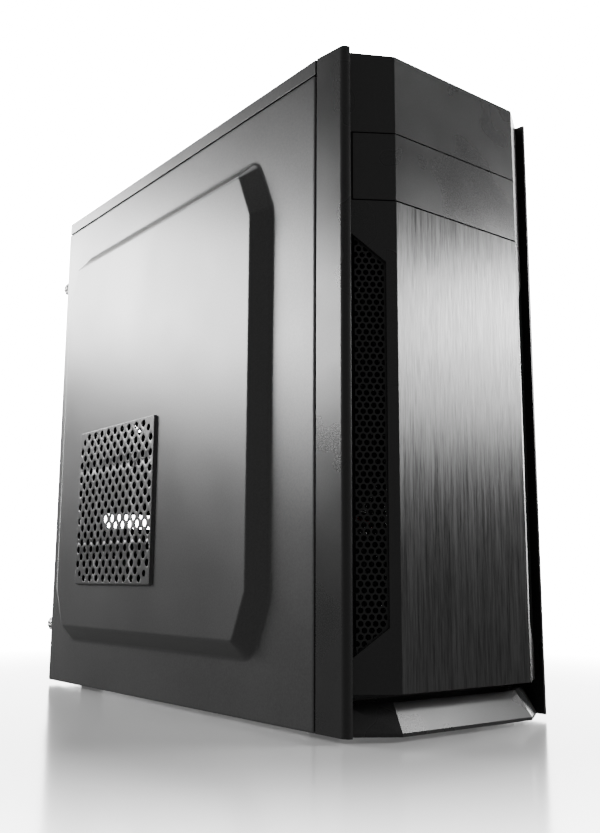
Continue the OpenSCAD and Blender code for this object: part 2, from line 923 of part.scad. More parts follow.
module bezel_frame() {
    rib_z = [plate_z0, cover_z0 - wall - 0.6, cover_z0 + cover_h + 0.6];
    color(plastic_c)
        body_frame() {
            difference() {
                union() {
                    // Flanks and front skin
                    difference() {
                        bezel_plan(plate_z0, case_h);
                        // Recess of the brushed plate
                        slab([-plate_x, plate_x], [-bezel_d - 1, -bezel_d + plate_t],
                            [plate_z0 - 1, plate_z1]);
                        // Bay opening across both flanks
                        slab([-cover_x - cover_gap, cover_x + cover_gap], [-bezel_d - 1, -channel_floor + 1],
                            [cover_z0 - cover_gap, cover_z0 + cover_h + cover_gap]);
                        both_sides()
                            flank_frame()
                                translate([0, 0, -wall - 2])
                                    linear_extrude(wall + 4)
                                        intake_outline(0);
                    }
                    // Cheeks and channel floors
                    both_sides() {
                        translate([0, 0, bezel_z0])
                            cheek();
                        slab([flank_x - wall, half_w - cheek_t + eps],
                            [-channel_floor - eps, -channel_floor + wall], [bezel_z0, case_h]);
                        slab([half_w - cheek_t - wall, half_w - cheek_t + eps],
                            [-channel_floor, -bezel_gap], [bezel_z0, case_h]);
                    }
                    // Cross ribs behind the skin
                    for (z = rib_z)
                        slab([-flank_x + wall - eps, flank_x - wall + eps], [-flank_d + 3, -bezel_gap - 4],
                            [z, z + 2]);
                    // Clips that pass through the front frame
                    both_sides()
                        for (z = clip_z)
                            slab([clip_x - 3, clip_x], [-bezel_gap - 22, 5], [z - 3, z + 3]);
                    for (z = clip_z)
                        slab([-flank_x + wall - eps, flank_x - wall + eps], [-flank_d + 4, -flank_d + 6.5],
                            [z - 4, z + 4]);
                }
                // Room for what stands below the deck
                deck_frame()
                    translate([-case_w, -10, 0])
                        cube([2 * case_w, 2 * bezel_d, 40]);
                slab([-clip_x + 4, clip_x - 4], [-cheek_d - 1, 8], [case_h - 34, case_h]);
            }
            // Cheek tips above the deck
            intersection() {
                both_sides()
                    translate([0, 0, bezel_z0])
                        cheek();
                under_slope(0);
                slab([-case_w, case_w], [-bezel_d, 0], [deck_z - 4, case_h]);
            }
            deck();
            plinth();
        }
}

module deck() {
    deck_frame()
        difference() {
            translate([0, 0, -wall])
                linear_extrude(wall)
                    deck_outline();
            for (b = [[power_at, power_r], [reset_at, reset_r]])
                translate([b[0][0], b[0][1], -wall - 1])
                    cylinder(r = b[1] + button_gap, h = wall + 2);
            for (p = light_at)
                translate([p[0], p[1], -wall - 1])
                    cylinder(r = 1.6, h = wall + 2);
            for (p = usb_at)
                translate([p[0], p[1], -wall - 1])
                    linear_extrude(wall + 2)
                        square([14.6, 7.2], center = true);
            for (p = audio_at)
                translate([p[0], p[1], -wall - 1])
                    cylinder(r = 3.6, h = wall + 2);
        }
}

module deck_outline() {
    s = 1 / cos(deck_tilt);
    x = half_w - cheek_t;
    polygon([[-plate_x, 0], [plate_x, 0], [flank_x, (bezel_d - flank_d) * s],
        [x, (bezel_d - flank_d + 2) * s], [x, (bezel_d - bezel_gap) * s],
        [-x, (bezel_d - bezel_gap) * s], [-x, (bezel_d - flank_d + 2) * s],
        [-flank_x, (bezel_d - flank_d) * s]]);
}

module plinth() {
    difference() {
        plinth_block(0, 0);
        translate([0, 0, -eps])
            plinth_block(wall, wall);
        slab([-flank_x + wall, flank_x - wall], [-flank_d + ramp_set + wall + 1, 1], [0, ramp_top + 1]);
    }
}

module front_plate() {
    color(brushed_c)
        body_frame()
            slab([-plate_x, plate_x], [-bezel_d, -bezel_d + plate_t], [plate_z0, plate_z1]);
}

module intake_mesh() {
    pitch = 4.2;
    rows = ceil((intake_z[3] - intake_z[0]) / (0.866 * pitch));
    flank_frame()
        translate([0, 0, -wall - 1])
            linear_extrude(1)
                difference() {
                    intersection() {
                        intake_outline(2);
                        translate([2.6, 0])
                            square([flank_l, case_h]);
                    }
                    intersection() {
                        for (row = [0 : rows], col = [0 : 4])
                            translate([3 + (col + (row % 2) / 2) * pitch,
                                intake_z[0] + row * 0.866 * pitch])
                                circle(1.6, $fn = 16);
                        intake_outline(-1);
                    }
                }
}

module left_intake_mesh() {
    color(dark_c)
        body_frame()
            intake_mesh();
}

module right_intake_mesh() {
    color(dark_c)
        body_frame()
            mirror([1, 0, 0])
                intake_mesh();
}

module bay_cover() {
    t = wall;
    box_x = bay_w / 2 - 3.6;
    color(plastic_c)
        body_frame() {
            translate([0, 0, cover_z0])
                linear_extrude(cover_h)
                    difference() {
                        intersection() {
                            polygon([[-flank_x, -flank_d], [-plate_x, -bezel_d], [plate_x, -bezel_d],
                                [flank_x, -flank_d], [flank_x, -flank_d + t], [-flank_x, -flank_d + t]]);
                            square([2 * cover_x, 4 * bezel_d], center = true);
                        }
                        polygon([[-plate_x + t * 0.2, -bezel_d + t], [plate_x - t * 0.2, -bezel_d + t],
                            [flank_x - 3, -flank_d + t + eps], [-flank_x + 3, -flank_d + t + eps]]);
                    }
            // Hollow box that reaches into the bay
            intersection() {
                difference() {
                    slab([-box_x, box_x], [-bezel_d, 8], [cover_z0 + 1, cover_z0 + cover_h - 1]);
                    slab([-box_x + 1.8, box_x - 1.8], [-bezel_d - 1, 9],
                        [cover_z0 + 2.8, cover_z0 + cover_h - 2.8]);
                }
                linear_extrude(case_h)
                    polygon([[-flank_x, 9], [-flank_x, -flank_d + t - eps],
                        [-plate_x + t * 0.2, -bezel_d + t - eps],
                        [plate_x - t * 0.2, -bezel_d + t - eps], [flank_x, -flank_d + t - eps],
                        [flank_x, 9]]);
            }
        }
}

// ---- Front controls ----

module push_button(at, r, cap) {
    collar = 1.2;
    stem_z = socket_board_z + 1.6 + tact_h;
    translate([at[0], at[1], 0]) {
        translate([0, 0, -wall - 0.1])
            cylinder(r = r, h = wall + 0.1 + cap);
        translate([0, 0, -wall - 0.1 - collar])
            cylinder(r = r + 1.2, h = collar);
        translate([0, 0, stem_z])
            cylinder(r = 1.6, h = -wall - 0.1 - stem_z);
    }
}

module power_button() {
    color("#3c3c40")
        body_frame()
            deck_frame()
                push_button(power_at, power_r, 0.8);
}

module reset_button() {
    color("#3c3c40")
        body_frame()
            deck_frame()
                push_button(reset_at, reset_r, 0.5);
}

module indicator_lights() {
    color("#d8e4f0")
        body_frame()
            deck_frame()
                for (p = light_at)
                    translate([p[0], p[1], 0]) {
                        translate([0, 0, socket_board_z + 3])
                            cylinder(r = 1.5, h = -socket_board_z - 3 + 0.3);
                        translate([0, 0, -wall - 1.5])
                            cylinder(r = 2.4, h = 1.4);
                    }
}

module front_socket_board() {
    z = socket_board_z;
    color(board_c)
        body_frame()
            deck_frame() {
                slab([-62, 63], [11, 31], [z, z + 1.6]);
                for (p = [power_at, reset_at])
                    translate([p[0], p[1], z + 1.6 - eps])
                        difference() {
                            translate([-3, -3, 0])
                                cube([6, 6, tact_h + eps]);
                            translate([0, 0, 0.3])
                                cylinder(r = 1.9, h = tact_h);
                        }
                for (p = light_at)
                    translate([p[0] - 1.6, p[1] - 1.6, z + 1.6 - eps])
                        cube([3.2, 3.2, 1.2]);
                slab([-4, 2], [12, 26], [z - 7, z + eps]);
            }
}

// Upright USB-A socket, mouth up
module usb_socket(depth) {
    w = 14.2;
    h = 6.8;
    difference() {
        translate([-w / 2, -h / 2, 0])
            cube([w, h, depth]);
        translate([-w / 2 + 0.6, -h / 2 + 0.6, 2])
            cube([w - 1.2, h - 1.2, depth]);
    }
    translate([-5.8, 0.3, 2 - eps])
        cube([11.6, 1.9, depth - 3.5]);
}

module front_usb_sockets() {
    depth = -socket_board_z - 1.6 - 0.4;
    color(metal_c)
        body_frame()
            deck_frame()
                for (p = usb_at)
                    translate([p[0], p[1], socket_board_z + 1.6])
                        usb_socket(depth);
}

module front_audio_jacks() {
    depth = -socket_board_z - 1.6 - 0.2;
    color(dark_c)
        body_frame()
            deck_frame()
                for (p = audio_at)
                    translate([p[0], p[1], socket_board_z + 1.6])
                        difference() {
                            union() {
                                translate([-5, -5, 0])
                                    cube([10, 10, depth - wall - 1]);
                                cylinder(r = 3.3, h = depth);
                            }
                            translate([0, 0, 2])
                                cylinder(r = 1.8, h = depth);
                        }
}

// ---- Main board ----

// Box on the component side: u and v ranges, w0 to w1 off the face
module board_box(u, v, w) {
    slab([board_face - w[1], board_face - w[0]], [board_rear - u[1], board_rear - u[0]],
        [board_top - v[1], board_top - v[0]]);
}

// Local z points off the board, local x runs to the rear and local y up
module board_point(u, v, w) {
    translate([board_face - w, board_rear - u, board_top - v])
        rotate([90, 0, -90])
            mirror([1, 0, 0])
                children();
}

module motherboard() {
    color(board_c)
        body_frame()
            difference() {
                board_box([0, board_w], [0, board_w], [-board_t, 0]);
                for (u = board_holes_u, v = board_holes_v)
                    board_point(u, v, -board_t - 1)
                        cylinder(r = 2, h = board_t + 2);
            }
}

module standoffs() {
    color("#b89b4a")
        body_frame()
            for (u = board_holes_u, v = board_holes_v)
                board_point(u, v, -board_t - standoff_h) {
                    cylinder(r = 2.9, h = standoff_h, $fn = 6);
                    translate([0, 0, -sheet - 1])
                        cylinder(r = 1.6, h = sheet + 1 + eps);
                }
}

module board_screws() {
    color(metal_c)
        body_frame()
            for (u = board_holes_u, v = board_holes_v)
                board_point(u, v, 0)
                    pan_screw(3.1, 1.8, 1.5, board_t);
}

module cpu_socket() {
    color(metal_c)
        body_frame()
            difference() {
                board_box([cpu_u - 26, cpu_u + 26], [cpu_v - 24, cpu_v + 24], [0, socket_h]);
                board_box([cpu_u - 18.8, cpu_u + 18.8], [cpu_v - 18.8, cpu_v + 18.8],
                    [1.2, socket_h + 1]);
            }
}

module cpu() {
    edge = 18.5;
    lid = 15.5;
    color("#c4c6c8")
        body_frame() {
            board_box([cpu_u - edge, cpu_u + edge], [cpu_v - edge, cpu_v + edge], [1.2, 3.4]);
            board_box([cpu_u - lid, cpu_u + lid], [cpu_v - lid, cpu_v + lid],
                [3.4 - eps, socket_h + cpu_h]);
        }
}

module heatsink() {
    fins = 19;
    fin_t = 1.4;
    half = sink_w / 2;
    w0 = socket_h + cpu_h;
    color("#c8cacc")
        body_frame() {
            board_box([cpu_u - half, cpu_u + half], [cpu_v - half, cpu_v + half],
                [w0, w0 + sink_base]);
            for (i = [0 : fins - 1])
                let (v = cpu_v - half + i * (sink_w - fin_t) / (fins - 1))
                board_box([cpu_u - half, cpu_u + half], [v, v + fin_t],
                    [w0 + sink_base - eps, w0 + sink_h]);
            // Push pins through the corners
            for (i = [-1, 1], j = [-1, 1])
                board_point(cpu_u + i * (half - 5), cpu_v + j * (half - 6), 0)
                    cylinder(r = 2.5, h = w0 + eps);
        }
}

module cpu_fan_frame() {
    color(dark_c)
        body_frame()
            board_point(cpu_u, cpu_v, socket_h + cpu_h + sink_h)
                fan_frame(cpu_fan_w, cpu_fan_t, cpu_fan_w - 9.5, 19);
}

module cpu_fan_rotor() {
    color("#242427")
        body_frame()
            board_point(cpu_u, cpu_v, socket_h + cpu_h + sink_h)
                fan_rotor(cpu_fan_w, cpu_fan_t, 19, 7);
}

memory_u = [182, 191.5, 201, 210.5];

module memory_slots() {
    color("#1c2430")
        body_frame()
            for (u = memory_u)
                difference() {
                    board_box([u - 3.2, u + 3.2], [8, 148], [0, 11]);
                    board_box([u - 0.9, u + 0.9], [11, 145], [4, 12]);
                }
}

module memory_modules() {
    color("#1a3a28")
        body_frame()
            for (u = [memory_u[1], memory_u[3]]) {
                board_box([u - 0.6, u + 0.6], [11.4, 144.6], [4.2, 35]);
                for (i = [0 : 7])
                    board_box([u - 1.7, u - 0.6 + eps], [17 + i * 15.5, 26.5 + i * 15.5], [16, 28]);
            }
}

module expansion_slots() {
    color("#20242c")
        body_frame() {
            difference() {
                board_box([47, 136], [161.3, 168.7], [0, 11]);
                board_box([49, 134], [164, 166], [3, 12]);
            }
            for (i = [1 : 3])
                let (v = 165 + i * slot_pitch)
                difference() {
                    board_box([47, 72], [v - 3.7, v + 3.7], [0, 11]);
                    board_box([49, 70], [v - 1, v + 1], [3, 12]);
                }
        }
}

module finned_block(u, v, h, n) {
    pitch = (v[1] - v[0]) / n;
    color("#5a5e64")
        body_frame() {
            board_box(u, v, [0.8, 4]);
            board_box([u[0] + 3, u[1] - 3], [v[0] + 3, v[1] - 3], [0, 1]);
            for (i = [0 : n - 1])
                board_box(u, [v[0] + i * pitch, v[0] + (i + 0.5) * pitch], [4 - eps, h]);
        }
}

module chipset_heatsink() {
    finned_block([158, 198], [172, 208], 12, 8);
}

module regulator_heatsink() {
    finned_block([36, 50], [30, 106], 24, 13);
}

module capacitors() {
    color("#7d838c")
        body_frame() {
            for (v = [34 : 12 : 106])
                board_point(152, v, 0)
                    cylinder(r = 4, h = 11);
            for (u = [150 : 11 : 172])
                board_point(u, 156, 0)
                    cylinder(r = 3.2, h = 8);
            for (v = [176, 196, 216])
                board_point(36, v, 0)
                    cylinder(r = 3.2, h = 8);
        }
}

module coin_cell() {
    color("#c9cbce")
        body_frame()
            board_point(108, 196, 0) {
                cylinder(r = 11.5, h = 2.2);
                translate([0, 0, 2.2 - eps])
                    cylinder(r = 10, h = 2);
            }
}

module sata_sockets() {
    color("#2a1214")
        body_frame()
            for (i = [0 : 3])
                difference() {
                    board_box([228, 243.5], [172 + i * 13, 182 + i * 13], [0, 8.5]);
                    board_box([233, 245], [174 + i * 13, 180 + i * 13], [2, 7]);
                }
}

module power_sockets() {
    color("#d9d2c0")
        body_frame() {
            difference() {
                board_box([222, 232], [60, 112], [0, 12]);
                for (i = [0 : 11], u = [224.6, 229.4])
                    board_box([u - 1.7, u + 1.7], [61.7 + i * 4.2, 65.1 + i * 4.2], [3, 13]);
            }
            difference() {
                board_box([56, 75], [3, 13], [0, 12]);
                for (i = [0 : 3], v = [5.6, 10.4])
                    board_box([57.4 + i * 4.3, 60.6 + i * 4.3], [v - 1.6, v + 1.6], [3, 13]);
            }
        }
}

// Ports seen from the rear: v range, height off the board
port_blocks = [[15, 30, 30], [34, 63, 31], [66, 81, 8], [84, 100, 28], [103, 117, 16], [121, 134, 33]];

module rear_ports() {
    reach = rear_y - board_rear;
    color("#a9acb0")
        body_frame()
            difference() {
                for (p = port_blocks)
                    board_box([-reach, 24], [p[0], p[1]], [0, p[2]]);
                // Socket mouths
                for (w = [8, 15.5])
                    board_box([-reach - 1, 8], [16.5, 28.5], [w, w + 5.5]);
                board_point(-reach - 1, 22.5, 25)
                    rotate([0, 90, 0])
                        cylinder(r = 3.6, h = 10, center = true);
                for (w = [4, 18])
                    board_box([-reach - 1, 7], [38, 59], [w, w + 9]);
                board_box([-reach - 1, 7], [67, 80], [2, 6.5]);
                for (w = [2, 8])
                    board_box([-reach - 1, 8], [85.5, 98.5], [w, w + 4.6]);
                board_box([-reach - 1, 10], [86, 98], [15, 26]);
                for (w = [2, 9])
                    board_box([-reach - 1, 8], [103.8, 116.2], [w, w + 4.6]);
                for (w = [6, 16.5, 27])
                    board_point(-reach, 127.5, w)
                        rotate([0, 90, 0])
                            cylinder(r = 1.9, h = 20, center = true);
            }
}

module port_shield() {
    color("#c2c4c6")
        body_frame()
            difference() {
                slab([port_x0, port_x1], [rear_in - 0.5, rear_in], [port_z0, port_z1]);
                for (p = port_blocks)
                    slab([board_face - p[2] - 0.3, board_face + 0.3], [rear_in - 1, rear_in + 1],
                        [board_top - p[1] - 0.3, board_top - p[0] + 0.3]);
            }
}

// ---- Fans, supply and cables ----

module rear_fan_at() {
    translate([rear_fan_x, rear_in, rear_fan_z])
        rotate([90, 0, 0])
            children();
}

module rear_fan_frame() {
    color(dark_c)
        body_frame()
            rear_fan_at()
                fan_frame(rear_fan_w, fan_t, rear_fan_pitch, 19);
}

module rear_fan_rotor() {
    color("#242427")
        body_frame()
            rear_fan_at()
                fan_rotor(rear_fan_w, fan_t, 19, 7);
}

module psu_case() {
    color("#55575b")
        body_frame()
            difference() {
                slab([-psu_w / 2, psu_w / 2], [psu_y0, rear_in], [psu_z0, psu_z0 + psu_h]);
                slab([-psu_w / 2 + psu_wall, psu_w / 2 - psu_wall],
                    [psu_y0 + psu_wall, rear_in - psu_wall],
                    [psu_z0 + psu_wall, psu_z0 + psu_h - psu_wall]);
                translate([0, psu_fan_y, psu_z0 - 1])
                    cylinder(r = psu_fan_w / 2 - 3, h = 4, $fn = 96);
                // Outlet mesh beside the inlet and switch
                translate([0, rear_in + 1, 0])
                    rotate([90, 0, 0])
                        linear_extrude(3)
                            intersection() {
                                translate([18, psu_z0 + psu_h / 2])
                                    square([92, psu_h - 14], center = true);
                                translate([18, psu_z0 + psu_h / 2])
                                    hole_disc(0, 70, 7, 2.9);
                            }
                slab([inlet_x - inlet_w / 2, inlet_x + inlet_w / 2], [rear_in - 3, rear_in + 1],
                    [inlet_z - inlet_h / 2, inlet_z + inlet_h / 2]);
                slab([inlet_x - switch_l / 2, inlet_x + switch_l / 2], [rear_in - 3, rear_in + 1],
                    [switch_z - switch_w / 2, switch_z + switch_w / 2]);
                for (s = psu_holes)
                    translate([s[0], rear_in, s[1]])
                        rotate([90, 0, 0])
                            cylinder(r = 1.55, h = 6, center = true);
                // Cable gland
                translate([30, psu_y0, psu_z0 + 26])
                    rotate([90, 0, 0])
                        linear_extrude(4, center = true)
                            round_square(84, 34, 8);
            }
}

module psu_circuit() {
    z = psu_z0 + psu_h - psu_wall - 8;
    color("#6a5a2a")
        body_frame() {
            slab([-66, 66], [psu_y0 + 8, rear_in - 26], [z, z + 1.6]);
            for (x = [-30, 34])
                slab([x, x + 3], [psu_y0 + 20, rear_in - 34], [z - 36, z + eps]);
            slab([-12, 22], [psu_y0 + 50, psu_y0 + 84], [z - 30, z + eps]);
            for (y = [psu_y0 + 40, psu_y0 + 66, psu_y0 + 92])
                translate([-48, y, z - 32])
                    cylinder(r = 11, h = 32 + eps);
            for (x = [-50, 52], y = [psu_y0 + 14, rear_in - 34])
                translate([x, y, z + 1.6 - eps])
                    cylinder(r = 3, h = psu_z0 + psu_h - psu_wall - z - 1.6 + eps);
        }
}

module psu_fan_frame() {
    color(dark_c)
        body_frame()
            translate([0, psu_fan_y, psu_z0 + psu_wall])
                fan_frame(psu_fan_w, fan_t, psu_fan_w - 15, 21);
}

module psu_fan_rotor() {
    color("#242427")
        body_frame()
            translate([0, psu_fan_y, psu_z0 + psu_wall])
                fan_rotor(psu_fan_w, fan_t, 21, 7);
}

module psu_fan_guard() {
    wire = 1;
    color(metal_c)
        body_frame()
            translate([0, psu_fan_y, psu_z0 - wire]) {
                for (r = [12 : 11 : 56])
                    rotate_extrude($fn = 96)
                        translate([r, 0])
                            circle(wire, $fn = 16);
                for (a = [45, 135])
                    rotate(a)
                        rotate([90, 0, 0])
                            cylinder(r = wire * 0.9, h = 2 * 67, center = true, $fn = 16);
            }
}

module psu_screws() {
    color(metal_c)
        body_frame()
            for (s = psu_holes)
                translate([s[0], rear_y, s[1]])
                    rotate([-90, 0, 0])
                        pan_screw(3.6, 2.2, 1.5, sheet + 4);
}

module mains_inlet() {
    flange = 2;
    depth = 22;
    color(dark_c)
        body_frame()
            translate([inlet_x, rear_in, inlet_z]) {
                difference() {
                    union() {
                        slab([-inlet_w / 2, inlet_w / 2], [-depth, flange],
                            [-inlet_h / 2, inlet_h / 2]);
                    }
                    // Mouth with two cut corners
                    translate([0, flange + 1, 0])
                        rotate([90, 0, 0])
                            linear_extrude(17)
                                polygon([[-12, -7.8], [12, -7.8], [12, 3], [7.2, 7.8],
                                    [-7.2, 7.8], [-12, 3]]);
                }
                for (p = [[-7, -1.5], [0, 2.5], [7, -1.5]])
                    slab([p[0] - 1, p[0] + 1], [-16, -2], [p[1] - 2, p[1] + 2]);
            }
}

module rocker_switch() {
    color("#17171a")
        body_frame()
            translate([inlet_x, rear_in, switch_z])
                rotate([rocker_tilt, 0, 0])
                    rotate([90, 0, 90])
                        linear_extrude(switch_l - 2, center = true)
                            polygon([[3.2, -5.2], [0.6, 0], [3.2, 5.2], [-1, 5.2], [-5, 2],
                                [-5, -2], [-1, -5.2]]);
}

// Square plugs and round leads of the supply
module power_cables() {
    sides = 8;
    color("#141416")
        body_frame() {
            tube(main_cable, 4.5, sides, [1, 0, 0]);
            tube(cpu_cable, 2.5, sides, [1, 0.2, 0.1]);
            tube(drive_cable, 2.5, sides, [1, 0.2, 0.1]);
            difference() {
                board_box([221, 233], [59, 113], [12, 24]);
                board_box([223, 231], [61, 111], [23, 25]);
            }
            board_box([55, 76], [3, 14], [12, 22]);
        }
}

module data_cables() {
    color("#7a1518")
        body_frame()
            tube(sata_cable, 1.6, 6, [1, 0, 1]);
}

rear_panel();
base_pan();
top_cover();
front_frame();
board_tray();
optical_bay_cage();
drive_cage();
left_panel();
right_panel();
left_screw_upper();
left_screw_lower();
right_screw_upper();
right_screw_lower();
bezel_frame();
front_plate();
left_intake_mesh();
right_intake_mesh();
bay_cover();
power_button();
reset_button();
indicator_lights();
front_socket_board();
front_usb_sockets();
front_audio_jacks();
foot_pads();
motherboard();
standoffs();
board_screws();
cpu_socket();
cpu();
heatsink();
cpu_fan_frame();
cpu_fan_rotor();
memory_slots();
memory_modules();
expansion_slots();
chipset_heatsink();
regulator_heatsink();
capacitors();
coin_cell();
sata_sockets();
power_sockets();
rear_ports();
port_shield();
slot_covers();
slot_screws();
rear_fan_frame();
rear_fan_rotor();
psu_case();
psu_circuit();
psu_fan_frame();
psu_fan_rotor();
psu_fan_guard();
mains_inlet();
rocker_switch();
psu_screws();
hard_drive();
solid_state_drive();
power_cables();
data_cables();
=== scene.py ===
"""Looks of a desktop computer tower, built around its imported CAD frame.

Metres, +Z up. The front faces -Y and the perforated side panel faces -X.
"""

import json
import math

import bmesh
import bpy
from mathutils import Matrix, Quaternion, Vector

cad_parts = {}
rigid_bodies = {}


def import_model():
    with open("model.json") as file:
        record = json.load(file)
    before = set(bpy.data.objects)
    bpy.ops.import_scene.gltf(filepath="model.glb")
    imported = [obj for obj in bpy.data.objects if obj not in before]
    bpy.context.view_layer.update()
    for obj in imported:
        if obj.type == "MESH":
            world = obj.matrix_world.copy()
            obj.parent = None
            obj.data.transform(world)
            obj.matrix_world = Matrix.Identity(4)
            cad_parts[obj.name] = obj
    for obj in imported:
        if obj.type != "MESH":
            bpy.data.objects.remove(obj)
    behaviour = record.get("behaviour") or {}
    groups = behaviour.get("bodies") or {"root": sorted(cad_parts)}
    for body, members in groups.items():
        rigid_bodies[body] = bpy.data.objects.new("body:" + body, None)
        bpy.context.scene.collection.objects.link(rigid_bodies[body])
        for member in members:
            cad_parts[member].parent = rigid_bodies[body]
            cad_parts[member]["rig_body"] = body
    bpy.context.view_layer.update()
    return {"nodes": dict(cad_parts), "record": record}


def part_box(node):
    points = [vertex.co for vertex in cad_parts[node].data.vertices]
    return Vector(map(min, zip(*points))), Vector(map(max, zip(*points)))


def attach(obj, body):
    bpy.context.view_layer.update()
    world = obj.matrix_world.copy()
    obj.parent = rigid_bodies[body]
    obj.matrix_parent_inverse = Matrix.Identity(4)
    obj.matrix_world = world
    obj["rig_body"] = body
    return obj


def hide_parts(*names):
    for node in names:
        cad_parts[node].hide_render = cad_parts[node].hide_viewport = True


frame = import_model()
cad = frame["nodes"]
slot_of = {part["node"]: part["material_slot"] for part in frame["record"]["subparts"]}
MM = 0.001

# ---- Places taken from the frame ----

panel_low, panel_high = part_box("right_panel")
bezel_low, bezel_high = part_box("bezel_frame")
middle_x = (bezel_low.x + bezel_high.x) / 2
half_w = (bezel_high.x - bezel_low.x) / 2
steel_y = panel_low.y


# ---- Camera and lights ----

CAMERA_AT = (-0.4280, -0.5918, 0.0866)
CAMERA_TURN = (37.94, 9.87, 0.31)
LENS = 40.8
AIM_HEIGHT = 0.2

def look(yaw, pitch, roll):
    """Camera rotation: yaw from +Y towards +X, pitch up, roll in its own plane."""
    return (Matrix.Rotation(-yaw, 3, "Z") @ Matrix.Rotation(math.pi / 2 + pitch, 3, "X")
            @ Matrix.Rotation(roll, 3, "Z"))


def add_camera():
    data = bpy.data.cameras.new("camera")
    data.sensor_width = 36
    data.lens = LENS
    data.clip_start = 0.01
    data.clip_end = 100
    camera = bpy.data.objects.new("camera", data)
    bpy.context.scene.collection.objects.link(camera)
    turn = look(*(math.radians(angle) for angle in CAMERA_TURN))
    camera.matrix_world = Matrix.Translation(CAMERA_AT) @ turn.to_4x4()
    bpy.context.scene.camera = camera


def softbox(name, azimuth, elevation, distance, size, watts, roll=0):
    """Area light aimed at the tower. Azimuth runs from +Y towards +X, in degrees. roll
    turns the light in its own plane."""
    data = bpy.data.lights.new(name, "AREA")
    data.shape = "RECTANGLE"
    data.size, data.size_y = size
    data.energy = watts
    light = bpy.data.objects.new(name, data)
    bpy.context.scene.collection.objects.link(light)
    a, e = math.radians(azimuth), math.radians(elevation)
    away = Vector((math.sin(a) * math.cos(e), math.cos(a) * math.cos(e), math.sin(e)))
    aim = Vector((middle_x, 0, AIM_HEIGHT))
    light.location = aim + away * distance
    turn = Quaternion((0, 0, 1), math.radians(roll))
    light.rotation_euler = (away.to_track_quat("Z", "Y") @ turn).to_euler()
    light.visible_camera = False
    return light


def stage_mesh(name, make):
    mesh = bpy.data.meshes.new(name)
    bm = bmesh.new()
    make(bm)
    bm.to_mesh(mesh)
    bm.free()
    obj = bpy.data.objects.new(name, mesh)
    bpy.context.scene.collection.objects.link(obj)
    return obj


add_camera()
softbox("left_rear_box", -31.5, 18.6, 2.4, (1.1, 0.40), 53, roll=-9)
softbox("right_front_box", 127, 14, 2.0, (0.8, 0.36), 21)
softbox("right_box", 76, 10, 2.4, (0.5, 0.5), 14)
softbox("high_front_box", 116, 43, 2.2, (0.6, 0.3), 7)
softbox("plinth_box", 143, 17.1, 0.646, (0.2, 0.09), 1.05)
softbox("top_box", 20, 80, 2.0, (1.4, 1.4), 10)


# ---- Node materials ----

class Paint:
    """A Principled material and short names for the nodes that feed it."""

    def __init__(self, name, metallic=0.0, **fixed):
        self.mat = bpy.data.materials.new(name)
        self.mat.use_nodes = True
        self.tree = self.mat.node_tree
        self.tree.nodes.clear()
        out = self.tree.nodes.new("ShaderNodeOutputMaterial")
        self.shader = self.tree.nodes.new("ShaderNodeBsdfPrincipled")
        self.tree.links.new(self.shader.outputs[0], out.inputs["Surface"])
        self.shader.inputs["Metallic"].default_value = metallic
        for socket, value in fixed.items():
            self.shader.inputs[socket.replace("_", " ")].default_value = value

    def put(self, value, socket):
        if isinstance(value, bpy.types.NodeSocket):
            self.tree.links.new(value, socket)
        elif value is not None:
            socket.default_value = value

    def node(self, kind, **values):
        made = self.tree.nodes.new("ShaderNode" + kind)
        for name, value in values.items():
            setattr(made, name, value)
        return made

    def coords(self, stretch=(1, 1, 1), turn=(0, 0, 0)):
        mapping = self.node("Mapping")
        self.tree.links.new(self.node("TexCoord").outputs["Object"], mapping.inputs["Vector"])
        mapping.inputs["Rotation"].default_value = turn
        mapping.inputs["Scale"].default_value = stretch
        return mapping.outputs["Vector"]

    def noise(self, scale, stretch=(1, 1, 1), detail=2.0, roughness=0.5):
        made = self.node("TexNoise")
        self.put(self.coords(stretch), made.inputs["Vector"])
        made.inputs["Scale"].default_value = scale
        made.inputs["Detail"].default_value = detail
        made.inputs["Roughness"].default_value = roughness
        return made.outputs["Fac"]

    def cells(self, scale, stretch=(1, 1, 1), feature="F1"):
        made = self.node("TexVoronoi", feature=feature)
        self.put(self.coords(stretch), made.inputs["Vector"])
        made.inputs["Scale"].default_value = scale
        return made.outputs["Distance"]

    def span(self, value, low, high, start=0.3, end=0.7):
        """Value from start to end mapped onto low to high."""
        made = self.node("MapRange")
        self.put(value, made.inputs["Value"])
        for socket, number in zip(("From Min", "From Max", "To Min", "To Max"),
                                  (start, end, low, high)):
            made.inputs[socket].default_value = number
        return made.outputs["Result"]

    def blend(self, value, low, high, start=0.3, end=0.7):
        """Value from start to end mapped onto two colours."""
        ramp = self.node("ValToRGB")
        self.put(value, ramp.inputs["Fac"])
        first, last = ramp.color_ramp.elements
        first.position, last.position = start, end
        first.color, last.color = (*low, 1), (*high, 1)
        return ramp.outputs["Color"]

    def sum(self, a, b, share=1.0):
        made = self.node("Math", operation="MULTIPLY_ADD")
        self.put(b, made.inputs[0])
        made.inputs[1].default_value = share
        self.put(a, made.inputs[2])
        return made.outputs[0]

    def surface(self, colour, roughness, height, distance, strength=0.5):
        """Feeds colour, roughness and a bump of the height in metres."""
        self.put(colour, self.shader.inputs["Base Color"])
        self.put(roughness, self.shader.inputs["Roughness"])
        bump = self.node("Bump")
        bump.inputs["Strength"].default_value = strength
        bump.inputs["Distance"].default_value = distance
        self.put(height, bump.inputs["Height"])
        self.tree.links.new(bump.outputs["Normal"], self.shader.inputs["Normal"])
        return self.mat


def grey(value, warm=0.0):
    return (value * (1 + warm), value, value * (1 - warm))


